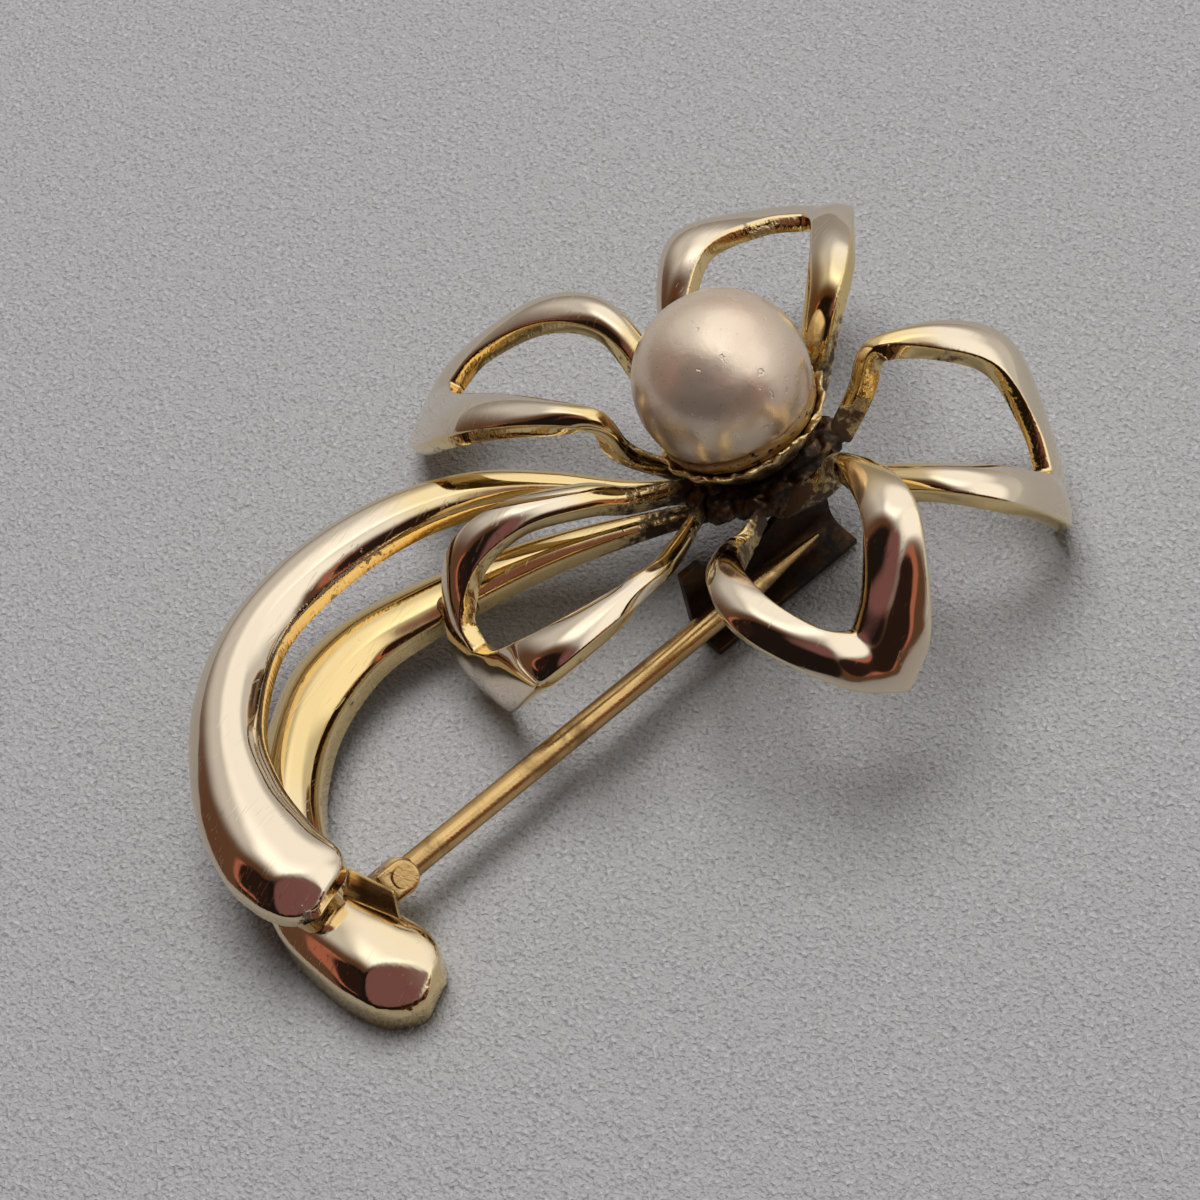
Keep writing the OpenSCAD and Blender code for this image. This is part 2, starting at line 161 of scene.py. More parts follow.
# Colours beside those that a user would change
SOLDER_DARK = (0.02, 0.012, 0.008)
CUP_DARK = (0.10, 0.05, 0.025)
NECK_DARK = (0.14, 0.07, 0.03)
# The catch: its dull brown and its darker patches, both darkened further by painted shade
CATCH_BROWN_SHADED = (0.085, 0.048, 0.026)
CATCH_DARK_SHADED = (0.015, 0.009, 0.006)
GLUE_PALE = (0.62, 0.36, 0.10)
GLUE_SPECK = (0.03, 0.012, 0.006)
PEARL_ROSE = (0.92, 0.73, 0.59)
# Darker golden edge of the pearl where it turns away: painted shade and a painted golden reflection
PEARL_EDGE_SHADE_REFLECTION = (0.66, 0.50, 0.35)
WIRE_STAIN = (0.36, 0.22, 0.09)

# The room as the metal shows it: one colour, and areas that lie over it and over each other,
# from wide to small. Columns: direction, cosines of the angle to it where the area begins
# and where it is full, colour.
ROOM_COLOUR = (0.60, 0.59, 0.57)
ROOM_AREAS = (
    # Dim low on the left, even above
    ((-0.94, 0.34, 0.0), -0.2, 0.9, (0.31, 0.29, 0.27)),
    ((0, 0, 1), 0.1, 0.6, (0.60, 0.59, 0.58)),
    # Bright overhead, at the back and on the right
    ((-0.03, 0.24, 0.97), 0.88, 0.985, (1.5, 1.48, 1.43)),
    ((-0.08, 0.60, 0.80), 0.82, 0.96, (1.05, 1.04, 1.01)),
    ((0.66, 0.30, 0.69), 0.84, 0.97, (1.10, 1.09, 1.04)),
    # Brown at the front, on the left flank and in the corner on the right
    ((-0.02, -0.83, 0.55), 0.52, 0.76, (0.10, 0.045, 0.024)),
    ((-0.75, -0.62, 0.20), 0.58, 0.94, (0.11, 0.055, 0.032)),
    ((0.92, -0.34, 0.17), 0.80, 0.88, (0.10, 0.05, 0.028)),
    # The darkest part of the front
    ((0.08, -0.86, 0.50), 0.72, 0.80, (0.012, 0.008, 0.007)),
    # Two coral spots, each with a dark spot over it that leaves a crescent
    ((-0.46, -0.68, 0.57), 0.965, 0.975, (0.38, 0.13, 0.08)),
    ((-0.36, -0.70, 0.62), 0.965, 0.975, (0.02, 0.010, 0.008)),
    ((0.90, -0.22, 0.38), 0.955, 0.965, (0.38, 0.13, 0.08)),
    ((0.86, -0.32, 0.40), 0.955, 0.965, (0.02, 0.010, 0.008)),
    # A dull glow at the camera
    ((0.437, -0.393, 0.809), 0.955, 0.995, (0.18, 0.08, 0.08)),
)
# Share of the room's light that falls on dull surfaces
ROOM_ON_DULL = 0.42


# Sizes, colours and light that a user would change

class BroochSizes(bpy.types.PropertyGroup):
    smoothing: IntProperty(
        name="Smoothing",
        description="Times that each face of the petals and stems is cut in four",
        default=2, min=1, max=3)
    rim_rag: FloatProperty(
        name="Rim rag",
        description="How far the torn rim of the cup strays from its even crimps",
        default=0.0002, min=0.0, max=0.0004, unit="LENGTH")
    solder_lumps: FloatProperty(
        name="Solder lumps",
        description="Height of the lumps on the solder of the hub",
        default=0.00016, min=0.0, max=0.0004, unit="LENGTH")
    edge_round: FloatProperty(
        name="Sheet edges",
        description="Rounding of the edges of the catch and the hinge",
        default=0.00005, min=0.00001, max=0.0001, unit="LENGTH")
    plating_start: FloatProperty(
        name="Plating start",
        description="Distance from the hub at which silver begins to show on the petals",
        default=0.0056, min=0.003, max=0.008, unit="LENGTH")
    plating_full: FloatProperty(
        name="Plating full",
        description="Distance from the hub at which the domes are wholly silver",
        default=0.0110, min=0.006, max=0.014, unit="LENGTH")


class BroochFinish(bpy.types.PropertyGroup):
    silver: FloatVectorProperty(
        name="Silver", description="Worn silver on the domes of the petals and stems",
        default=(0.86, 0.74, 0.58), size=3, min=0.0, max=1.0, subtype="COLOR")
    gold: FloatVectorProperty(
        name="Gold", description="Gilding on the walls and the roots",
        default=(0.87, 0.665, 0.33), size=3, min=0.0, max=1.0, subtype="COLOR")
    wire_gold: FloatVectorProperty(
        name="Pin gold", description="Dull gilding of the pin and its hinge",
        default=(0.66, 0.44, 0.19), size=3, min=0.0, max=1.0, subtype="COLOR")
    tarnish: FloatVectorProperty(
        name="Tarnish", description="Brown tarnish and flux round the hub",
        default=(0.085, 0.045, 0.025), size=3, min=0.0, max=1.0, subtype="COLOR")
    solder: FloatVectorProperty(
        name="Solder", description="Dark solder of the hub",
        default=(0.16, 0.095, 0.055), size=3, min=0.0, max=1.0, subtype="COLOR")
    pearl: FloatVectorProperty(
        name="Pearl", description="Cream skin of the pearl",
        default=(0.95, 0.81, 0.65), size=3, min=0.0, max=1.0, subtype="COLOR")
    glue: FloatVectorProperty(
        name="Glue", description="Amber glue round the pearl",
        default=(0.42, 0.20, 0.045), size=3, min=0.0, max=1.0, subtype="COLOR")
    roughness: FloatProperty(
        name="Polish", description="Roughness of the polished domes",
        default=0.055, min=0.02, max=0.6, subtype="FACTOR")


class BroochStage(bpy.types.PropertyGroup):
    table: FloatVectorProperty(
        name="Table", description="Colour of the table",
        default=(0.42, 0.42, 0.43), size=3, min=0.0, max=1.0, subtype="COLOR")
    camera_target: FloatVectorProperty(
        name="Camera target", description="Point on the table at the middle of the picture",
        default=(-0.00233, 0.00100, 0.0), size=3, subtype="TRANSLATION", unit="LENGTH")
    camera_distance: FloatProperty(
        name="Camera distance", description="From the camera to its target",
        default=0.170, min=0.05, max=1.0, unit="LENGTH")
    camera_elevation: FloatProperty(
        name="Camera elevation", description="Angle of the camera over the table",
        default=math.radians(54.0), min=0.1, max=1.5, subtype="ANGLE")
    camera_azimuth: FloatProperty(
        name="Camera azimuth", description="Turn of the camera from the -Y side towards +X",
        default=math.radians(48.0), subtype="ANGLE")
    camera_roll: FloatProperty(
        name="Camera roll", description="Tilt of the picture",
        default=math.radians(16.5), subtype="ANGLE")
    camera_lens: FloatProperty(
        name="Camera lens", description="Focal length in mm on a 36 mm sensor",
        default=111.4, min=20.0, max=300.0)
    sky: FloatProperty(
        name="Room light", description="Strength of the light from all round",
        default=1.0, min=0.0, max=5.0)
    window: FloatProperty(
        name="Window light", description="Power of the large soft light at the back, in watts",
        default=5.6, min=0.0, max=100.0, unit="POWER")


# Small helpers for meshes

def deselect_all():
    if bpy.context.object and bpy.context.object.mode != "OBJECT":
        bpy.ops.object.mode_set(mode="OBJECT")
    bpy.ops.object.select_all(action="DESELECT")


def activate(piece):
    """Select one piece alone."""
    deselect_all()
    piece.select_set(True)
    bpy.context.view_layer.objects.active = piece


def bare_copy(node, name):
    """A copy of a CAD node, still in loose triangles."""
    piece = bpy.data.objects.new(name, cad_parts[node].data.copy())
    bpy.context.scene.collection.objects.link(piece)
    piece.data.materials.clear()
    activate(piece)
    bpy.ops.mesh.customdata_custom_splitnormals_clear()
    return piece


def copied_node(node, name):
    """A merged copy of a CAD node, in quads where it can be."""
    piece = bare_copy(node, name)
    bpy.ops.object.mode_set(mode="EDIT")
    bpy.ops.mesh.select_all(action="SELECT")
    bpy.ops.mesh.remove_doubles(threshold=MERGE_DISTANCE)
    bpy.ops.mesh.tris_convert_to_quads(
        face_threshold=math.radians(50), shape_threshold=math.radians(100))
    bpy.ops.object.mode_set(mode="OBJECT")
    return piece


def select_edges(piece, wanted):
    """Enter edit mode with only the edges selected that a test on their two faces wants."""
    activate(piece)
    bpy.ops.object.mode_set(mode="EDIT")
    bpy.ops.mesh.select_mode(type="EDGE")
    bpy.ops.mesh.select_all(action="DESELECT")
    shape = bmesh.from_edit_mesh(piece.data)
    for edge in shape.edges:
        if len(edge.link_faces) == 2 and wanted(shape, *edge.link_faces):
            edge.select = True
    bmesh.update_edit_mesh(piece.data)


def banded_copy(node, name, sides):
    """A merged copy of a CAD node that was swept along a band. Its triangles come in pairs,
    ring by ring, so each pair is made one face again. Each face keeps the number of its
    strip, and the caps at the two ends have -1."""
    piece = bare_copy(node, name)
    count = len(piece.data.polygons)
    swept = count - 2 * (sides - 2)
    pairs = piece.data.attributes.new("pair", "INT", "FACE")
    pairs.data.foreach_set("value", [k // 2 for k in range(count)])
    strips = piece.data.attributes.new("strip", "INT", "FACE")
    strips.data.foreach_set("value", [(k // 2) % sides if k < swept else -1 for k in range(count)])
    bpy.ops.object.mode_set(mode="EDIT")
    bpy.ops.mesh.select_all(action="SELECT")
    bpy.ops.mesh.remove_doubles(threshold=MERGE_DISTANCE)
    bpy.ops.object.mode_set(mode="OBJECT")

    def same_pair(shape, first, second):
        pair = shape.faces.layers.int["pair"]
        return first[pair] == second[pair]

    select_edges(piece, same_pair)
    bpy.ops.mesh.dissolve_edges(use_verts=False)
    bpy.ops.object.mode_set(mode="OBJECT")
    return piece


def crease_between(piece, strips, value):
    """Hold the edges between pairs of strips, so that smoothing leaves them crisp."""

    def between(shape, first, second):
        strip = shape.faces.layers.int["strip"]
        return tuple(sorted((first[strip], second[strip]))) in strips

    select_edges(piece, between)
    bpy.ops.transform.edge_crease(value=value)
    bpy.ops.mesh.select_all(action="DESELECT")
    bpy.ops.object.mode_set(mode="OBJECT")


def points_within(piece, strips):
    """1 for the points whose faces are all in some strips, and 0 for the others."""
    strip = piece.data.attributes["strip"].data
    inside = [1.0] * len(piece.data.vertices)
    for face in piece.data.polygons:
        if strip[face.index].value not in strips:
            for point in face.vertices:
                inside[point] = 0.0
    return inside


def apply_subdivision(piece, levels, plain=False):
    activate(piece)
    smooth = piece.modifiers.new("Smooth", "SUBSURF")
    smooth.levels = levels
    smooth.render_levels = levels
    smooth.subdivision_type = "SIMPLE" if plain else "CATMULL_CLARK"
    smooth.boundary_smooth = "PRESERVE_CORNERS"
    bpy.ops.object.modifier_apply(modifier=smooth.name)


def lump_at(place):
    """The height, about -1 to 1, of smooth lumps about 1 wide that always come out the same."""
    return noise.fractal(place, 1.0, 2.0, 3)


def roughen(piece, height, grain, seed):
    """Move each point along its normal by lumps as wide as the grain."""
    offset = Vector((seed * 17.3, seed * 5.1, seed * 9.7))
    normals = [v.normal.copy() for v in piece.data.vertices]
    for v, n in zip(piece.data.vertices, normals):
        v.co = v.co + n * (lump_at(v.co / grain + offset) * height)
    piece.data.update()


def cut_end(piece, through, way):
    """Press the points of an end that stand over a slanting cut down, almost onto it."""
    way = Vector(way).normalized()
    through = Vector(through) * MM
    for point in piece.data.vertices:
        over = (point.co - through).dot(way)
        if over > 0 and (point.co - through).length < CUT_REACH * MM:
            point.co -= way * (over * CUT_SHARE)
    piece.data.update()


def shade(piece, degrees):
    """Shade a piece smooth, but for the edges that are sharper than an angle."""
    activate(piece)
    bpy.ops.object.shade_smooth_by_angle(angle=math.radians(degrees))


def bevel(piece, width, segments):
    """Round the sharp edges of a piece."""
    activate(piece)
    edges = piece.modifiers.new("Edges", "BEVEL")
    edges.width = width
    edges.segments = segments
    edges.limit_method = "ANGLE"
    bpy.ops.object.modifier_apply(modifier=edges.name)


def solder_balls(rows):
    """Balls of solder. Each row has a place and a radius in mm."""
    balls = []
    for place, radius in rows:
        deselect_all()
        bpy.ops.mesh.primitive_ico_sphere_add(
            subdivisions=3, radius=radius * MM, location=place)
        balls.append(bpy.context.object)
    return balls


def melt_together(pieces, voxel, passes):
    """Join some pieces into the first of them, and run them together under one skin."""
    activate(pieces[0])
    for piece in pieces:
        piece.select_set(True)
    bpy.ops.object.join()
    bpy.ops.object.transform_apply(location=True, rotation=True, scale=True)
    melt = pieces[0].modifiers.new("Melt", "REMESH")
    melt.mode = "VOXEL"
    melt.voxel_size = voxel
    bpy.ops.object.modifier_apply(modifier=melt.name)
    even = pieces[0].modifiers.new("Even", "SMOOTH")
    even.factor = 0.6
    even.iterations = passes
    bpy.ops.object.modifier_apply(modifier=even.name)


def store(piece, name, values):
    """Keep one number for each point of a piece, for its material to read."""
    data = piece.data.attributes.new(name, "FLOAT", "POINT")
    data.data.foreach_set("value", values)


def middle_of(node):
    low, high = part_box(node)
    return (low + high) / 2


def cup_axis():
    """The way from the hub up through the middle of the pearl."""
    return (middle_of("pearl") - middle_of("hub")).normalized()


def ramp(x, low, high):
    """0 up to the low bound and 1 from the high one, with a soft step between them."""
    t = min(max((x - low) / (high - low), 0.0), 1.0)
    return t * t * (3 - 2 * t)


def finish_piece(piece, material, slot, body, *nodes):
    """Give a finished piece its material, and make it stand for its CAD nodes."""
    piece.data.materials.clear()
    piece.data.materials.append(material)
    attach(piece, body)
    if nodes:
        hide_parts(*nodes)


def plate(piece, silver, domes, wall_share):
    """Store how silver, how sooty and how steep each point of a plated piece is. The walls
    have only a share of the silver of the domes, and more soot."""
    centre = middle_of("hub")
    silvers = []
    soots = []
    walls = []
    for point, on_dome in zip(piece.data.vertices, domes):
        away = (point.co - centre).length
        flat = Vector((point.co.x - centre.x, point.co.y - centre.y, 0)).length
        silvers.append(silver(point.co, flat) * (wall_share + (1 - wall_share) * on_dome))
        crust = max(most * (1 - ramp(away, near, far)) for most, near, far in SOOT_BANDS)
        soots.append(crust + WALL_SOOT * (1 - on_dome))
        walls.append(1 - on_dome)
    store(piece, "silver", silvers)
    store(piece, "soot", soots)
    store(piece, "wall", walls)


# Small helpers for materials

def add_node(tree, kind, x, y, **settings):
    """Add a node. Settings with a capital letter are inputs, and the others are its own."""
    node = tree.nodes.new(kind)
    node.location = (x * 200, y * 200)
    for key, value in settings.items():
        if key[0].isupper():
            node.inputs[key.replace("_", " ")].default_value = value
        else:
            setattr(node, key, value)
    return node


def join(tree, *pairs):
    """Link pairs of an output and an input."""
    for output, socket in pairs:
        tree.links.new(output, socket)


def rgba(colour):
    return (colour[0], colour[1], colour[2], 1.0)


def new_material(name):
    """A material with a Principled shader, and its tree and shader."""
    material = bpy.data.materials.new(name)
    material.use_nodes = True
    tree = material.node_tree
    shader = next(n for n in tree.nodes if n.type == "BSDF_PRINCIPLED")
    shader.location = (1000, 0)
    return material, tree, shader


def new_group(name, numbers=(), colours=(), values_out=(), colours_out=()):
    """A shader node group with named inputs and outputs, and its two end nodes."""
    tree = bpy.data.node_groups.new(name, "ShaderNodeTree")
    for label, default in numbers:
        socket = tree.interface.new_socket(label, in_out="INPUT", socket_type="NodeSocketFloat")
        socket.default_value = default
    for label, default in colours:
        socket = tree.interface.new_socket(label, in_out="INPUT", socket_type="NodeSocketColor")
        socket.default_value = rgba(default)
    for label in values_out:
        tree.interface.new_socket(label, in_out="OUTPUT", socket_type="NodeSocketFloat")
    for label in colours_out:
        tree.interface.new_socket(label, in_out="OUTPUT", socket_type="NodeSocketColor")
    start = add_node(tree, "NodeGroupInput", -6, 0)
    end = add_node(tree, "NodeGroupOutput", 6, 0)
    return tree, start, end


def place_group(tree, group, x, y, **inputs):
    node = add_node(tree, "ShaderNodeGroup", x, y)
    node.node_tree = group
    for key, value in inputs.items():
        node.inputs[key.replace("_", " ")].default_value = value
    return node


def noise_at(tree, vector, x, y, scale, detail=3.0, rough=0.5, distort=0.0):
    """Noise on a vector, at a scale for one metre."""
    node = add_node(tree, "ShaderNodeTexNoise", x, y, Scale=scale, Detail=detail,
                    Roughness=rough, Distortion=distort)
    join(tree, (vector, node.inputs["Vector"]))
    return node.outputs["Fac"]


def spread(tree, value, x, y, low, high, to_low=0.0, to_high=1.0, soft=True):
    """Map a value from one range to another, held at both ends."""
    node = add_node(tree, "ShaderNodeMapRange", x, y, From_Min=low, From_Max=high,
                    To_Min=to_low, To_Max=to_high)
    if soft:
        node.interpolation_type = "SMOOTHSTEP"
    join(tree, (value, node.inputs["Value"]))
    return node.outputs["Result"]


def sums(tree, how, first, second, x, y):
    """Math on two values, each a socket or a number."""
    node = add_node(tree, "ShaderNodeMath", x, y, operation=how)
    for place, value in enumerate((first, second)):
        if isinstance(value, (int, float)):
            node.inputs[place].default_value = value
        else:
            join(tree, (value, node.inputs[place]))
    return node.outputs[0]


def mixed(tree, factor, first, second, x, y):
    """Mix two colours, each a socket or a colour."""
    node = add_node(tree, "ShaderNodeMix", x, y, data_type="RGBA")
    join(tree, (factor, node.inputs["Factor"]))
    for place, value in ((6, first), (7, second)):
        if isinstance(value, bpy.types.NodeSocket):
            join(tree, (value, node.inputs[place]))
        else:
            node.inputs[place].default_value = rgba(value)
    return node.outputs[2]


def turned(tree, vector, x, y, angles, scale):
    """A vector turned by angles in degrees and then stretched."""
    node = add_node(tree, "ShaderNodeMapping", x, y)
    node.inputs["Rotation"].default_value = [math.radians(a) for a in angles]
    node.inputs["Scale"].default_value = scale
    join(tree, (vector, node.inputs["Vector"]))
    return node.outputs["Vector"]


def wire_shader(tree, shader, height, depth, **inputs):
    """Link values to the inputs of a shader, and bump it by a height that is up to some
    metres deep."""
    bump = add_node(tree, "ShaderNodeBump", 3, -2, Strength=1.0, Distance=depth)
    join(tree, (height, bump.inputs["Height"]), (bump.outputs["Normal"], shader.inputs["Normal"]))
    for label, value in inputs.items():
        join(tree, (value, shader.inputs[label.replace("_", " ")]))


# Effects that several finishes share

def scratches_group():
    """Fine scratches in three directions. Height is 0 on them and 1 beside them."""
    if "Fine scratches" in bpy.data.node_groups:
        return bpy.data.node_groups["Fine scratches"]
    tree, start, end = new_group(
        "Fine scratches", numbers=(("Amount", 0.5),), values_out=("Height", "Mask"))
    place = add_node(tree, "ShaderNodeTexCoord", -6, 3).outputs["Object"]
    lines = []
    for row, angles in enumerate(((20, 0, 15), (70, 40, 80), (-30, 75, 140))):
        stretched = turned(tree, place, -4, 3 - row * 2, angles, (9000, 420, 2600))
        grain = noise_at(tree, stretched, -3, 3 - row * 2, 1.0, 1.0, 0.4)
        lines.append(spread(tree, grain, -2, 3 - row * 2, 0.69, 0.73))
    most = sums(tree, "MAXIMUM", lines[0], lines[1], 0, 2)
    most = sums(tree, "MAXIMUM", most, lines[2], 1, 1)
    patches = noise_at(tree, place, -3, -4, 380.0, 2.0)
    patches = spread(tree, patches, -2, -4, 0.38, 0.62)
    most = sums(tree, "MULTIPLY", most, patches, 2, 0)
    most = sums(tree, "MULTIPLY", most, start.outputs["Amount"], 3, 0)
    height = sums(tree, "SUBTRACT", 1.0, most, 4, 0)
    join(tree, (height, end.inputs["Height"]), (most, end.inputs["Mask"]))
    return tree


def plating_group():
    """Worn silver over gold, with brown tarnish where soot is high."""
    if "Worn plating" in bpy.data.node_groups:
        return bpy.data.node_groups["Worn plating"]
    tree, start, end = new_group(
        "Worn plating",
        numbers=(("Silver", 1.0), ("Soot", 0.0), ("Wear", 0.3)),
        colours=(("Silver Colour", (0.86, 0.8, 0.74)), ("Gold Colour", (0.85, 0.65, 0.28)),
                 ("Tarnish Colour", (0.1, 0.05, 0.03))),
        values_out=("Roughness", "Soot Mask"), colours_out=("Colour",))
    place = add_node(tree, "ShaderNodeTexCoord", -6, 3).outputs["Object"]
    cloud = noise_at(tree, place, -5, 3, 420.0, 4.0, 0.6, 0.4)
    grain = noise_at(tree, place, -5, 1, 2600.0, 3.0, 0.6)
    cloud_shift = sums(tree, "SUBTRACT", cloud, 0.5, -4, 3)
    cloud_shift = sums(tree, "MULTIPLY", cloud_shift, start.outputs["Wear"], -3, 3)
    silver = sums(tree, "ADD", start.outputs["Silver"], cloud_shift, -2, 3)
    silver = spread(tree, silver, -1, 3, 0.18, 0.82)
    plated = mixed(
        tree, silver, start.outputs["Gold Colour"], start.outputs["Silver Colour"], 0, 3)
    spots = sums(tree, "MULTIPLY", grain, 0.55, -4, 1)
    spots = sums(tree, "ADD", spots, cloud, -3, 1)
    soot = sums(tree, "ADD", start.outputs["Soot"], spots, -2, 1)
    soot = spread(tree, soot, -1, 1, 1.02, 1.24)
    colour = mixed(tree, soot, plated, start.outputs["Tarnish Colour"], 2, 2)
    rough = spread(tree, cloud, -1, -1, 0.3, 0.75, 0.0, 0.05)
    rough = sums(tree, "ADD", rough, sums(tree, "MULTIPLY", soot, 0.42, 0, -1), 2, -1)
    join(tree, (colour, end.inputs["Colour"]), (rough, end.inputs["Roughness"]),
         (soot, end.inputs["Soot Mask"]))
    return tree


def waves_group():
    """Slow waves and lumps of metal that was stamped and bent by hand."""
    if "Hand waves" in bpy.data.node_groups:
        return bpy.data.node_groups["Hand waves"]
    tree, start, end = new_group(
        "Hand waves", numbers=(("Waves", 1.0), ("Grain", 0.1)), values_out=("Height",))
    place = add_node(tree, "ShaderNodeTexCoord", -6, 3).outputs["Object"]
    slow = noise_at(tree, place, -4, 2, 520.0, 1.0, 0.4)
    fine = noise_at(tree, place, -4, 0, 5200.0, 3.0, 0.6)
    slow = sums(tree, "MULTIPLY", slow, start.outputs["Waves"], -2, 2)
    fine = sums(tree, "MULTIPLY", fine, start.outputs["Grain"], -2, 0)
    join(tree, (sums(tree, "ADD", slow, fine, 0, 1), end.inputs["Height"]))
    return tree


def plated_material(name, finish, wear):
    """Worn silver over gold, driven by the numbers that its piece carries."""
    material, tree, shader = new_material(name)
    silver = add_node(tree, "ShaderNodeAttribute", -6, 2, attribute_name="silver")
    soot = add_node(tree, "ShaderNodeAttribute", -6, 1, attribute_name="soot")
    wall = add_node(tree, "ShaderNodeAttribute", -6, -1, attribute_name="wall")
    plating = place_group(
        tree, plating_group(), -3, 1, Wear=wear, Silver_Colour=rgba(finish.silver),
        Gold_Colour=rgba(finish.gold), Tarnish_Colour=rgba(finish.tarnish))
    marks = place_group(tree, scratches_group(), -3, -1, Amount=1.0)
    waves = place_group(tree, waves_group(), -3, -2, Waves=1.0, Grain=0.02)
    place = add_node(tree, "ShaderNodeTexCoord", -6, -3).outputs["Object"]
    cuts = noise_at(
        tree, turned(tree, place, -5, -3, (0, 0, 20), (6500, 6500, 500)), -4, -3, 1.0, 2.0)
    cuts = sums(tree, "MULTIPLY", cuts, wall.outputs["Fac"], -2, -3)
    height = sums(tree, "MULTIPLY", marks.outputs["Height"], 0.10, -1, -1)
    height = sums(tree, "ADD", height, waves.outputs["Height"], 0, -1)
    height = sums(tree, "ADD", height, sums(tree, "MULTIPLY", cuts, 0.5, -1, -3), 1, -2)
    dirt = sums(tree, "MULTIPLY", plating.outputs["Soot Mask"], 0.9, -1, -4)
    height = sums(tree, "ADD", height, dirt, 2, -2)
    roughness = sums(tree, "ADD", plating.outputs["Roughness"], finish.roughness, 0, 0)
    scuffs = sums(tree, "MULTIPLY", marks.outputs["Mask"], 0.12, 0, -0.5)
    roughness = sums(tree, "ADD", roughness, scuffs, 1, 0)
    metal = spread(tree, plating.outputs["Soot Mask"], 1, 1, 0.0, 1.0, 1.0, 0.35)
    join(tree, (silver.outputs["Fac"], plating.inputs["Silver"]),
         (soot.outputs["Fac"], plating.inputs["Soot"]))
    wire_shader(tree, shader, height, 0.00003, Base_Color=plating.outputs["Colour"],
                Roughness=roughness, Metallic=metal)
    return material


def dull_metal(name, colour, dark, rough, grain, lumps, painted_highlight=""):
    """Tarnished metal with dark patches, for the small parts. Where the number that the last
    argument names is high, the metal is painted bright as a highlight, and elsewhere darker."""
    material, tree, shader = new_material(name)
    place = add_node(tree, "ShaderNodeTexCoord", -6, 0).outputs["Object"]
    cloud = noise_at(tree, place, -5, 1, grain, 5.0, 0.62, 0.6)
    specks = noise_at(tree, place, -5, -1, grain * 6, 3.0, 0.6)
    both = sums(tree, "ADD", cloud, sums(tree, "MULTIPLY", specks, 0.35, -4, -1), -3, 0)
    mask = spread(tree, both, -2, 0, 0.56, 0.80)
    # Painted highlight where the named number is high, and darker metal elsewhere
    if painted_highlight:
        highlight_share = add_node(tree, "ShaderNodeAttribute", -3, 2, attribute_name=painted_highlight)
        highlight_shift = spread(tree, highlight_share.outputs["Fac"], -2, 2, 0.0, 1.0, 0.75, -0.6)
        mask = spread(tree, sums(tree, "ADD", mask, highlight_shift, -1, 2), -1, 1, 0.0, 1.0)
    tint = mixed(tree, mask, colour, dark, 0, 1)
    roughness = spread(tree, both, 0, 0, 0.5, 0.85, rough, rough + 0.3)
    metal = spread(tree, mask, 0, -1, 0.0, 1.0, 1.0, 0.45)
    wire_shader(tree, shader, both, lumps, Base_Color=tint, Roughness=roughness,
                Metallic=metal)
    return material


# One operator for each piece or group of like pieces

class BROOCH_OT_petals(bpy.types.Operator):
    """Smooth the five stamped petals, and plate them with worn silver over gold"""
    bl_idname = "brooch.petals"
    bl_label = "Petals"

    def execute(self, context):
        sizes = context.scene.brooch_sizes
        finish = context.scene.brooch_finish
        material = plated_material("gilt petal", finish, wear=0.5)

        def silver(place, flat):
            return ramp(flat, sizes.plating_start, sizes.plating_full)

        for node in PETALS:
            piece = banded_copy(node, node + "_plated", PETAL_SIDES)
            plate(piece, silver, points_within(piece, PETAL_DOME), wall_share=0.2)
            crease_between(piece, PETAL_CRISP, 0.8)
            crease_between(piece, PETAL_SOFT, 0.3)
            apply_subdivision(piece, sizes.smoothing)
            shade(piece, 38)
            finish_piece(piece, material, "gilt_petal", "frame", node)
        return {"FINISHED"}


class BROOCH_OT_stems(bpy.types.Operator):
    """Smooth the two crescent stems, and plate them with worn silver over gold"""
    bl_idname = "brooch.stems"
    bl_label = "Stems"

    def execute(self, context):
        sizes = context.scene.brooch_sizes
        finish = context.scene.brooch_finish
        material = plated_material("gilt stem", finish, wear=0.35)
        for column, node in enumerate(STEMS, 1):

            def silver(place, flat):
                rows = STEM_SILVER
                y = place.y / MM
                for above, below in zip(rows, rows[1:]):
                    if y > below[0]:
                        t = 1 - ramp(y, below[0], above[0])
                        return above[column] + (below[column] - above[column]) * t
                return rows[-1][column]

            piece = banded_copy(node, node + "_plated", STEM_SIDES)
            plate(piece, silver, points_within(piece, STEM_DOME), wall_share=0.5)
            crease_between(piece, STEM_CRISP, 0.8)
            crease_between(piece, STEM_SOFT, 0.4)
            apply_subdivision(piece, sizes.smoothing)
            cut_end(piece, END_CUTS[node], CUT_WAY)
            shade(piece, 38)
            finish_piece(piece, material, "gilt_stem", "frame", node)
        return {"FINISHED"}


class BROOCH_OT_hub(bpy.types.Operator):
    """Run the plate, its lumps and the drops of solder together into one rough mass"""
    bl_idname = "brooch.hub"
    bl_label = "Hub"

    def execute(self, context):
        sizes = context.scene.brooch_sizes
        finish = context.scene.brooch_finish
        centre = middle_of("hub")
        piece = copied_node("hub", "hub_solder")
        rows = []
        for turn, away, over, radius in HUB_DROPS:
            a = math.radians(turn)
            down = math.cos(a - math.radians(HUB_LEAN_TURN)) * away
            lean = math.sin(math.radians(HUB_LEAN)) * down
            place = centre + Vector((math.cos(a) * away, math.sin(a) * away, over - lean)) * MM
            rows.append((place, radius))
        melt_together([piece] + solder_balls(rows), voxel=0.00011, passes=5)
        roughen(piece, sizes.solder_lumps, grain=0.0007, seed=3)
        roughen(piece, sizes.solder_lumps * 0.3, grain=0.0002, seed=5)
        shade(piece, 60)
        material = dull_metal(
            "solder", finish.solder, SOLDER_DARK, rough=0.32, grain=900.0, lumps=0.00006)
        finish_piece(piece, material, "solder", "frame", "hub")
        return {"FINISHED"}


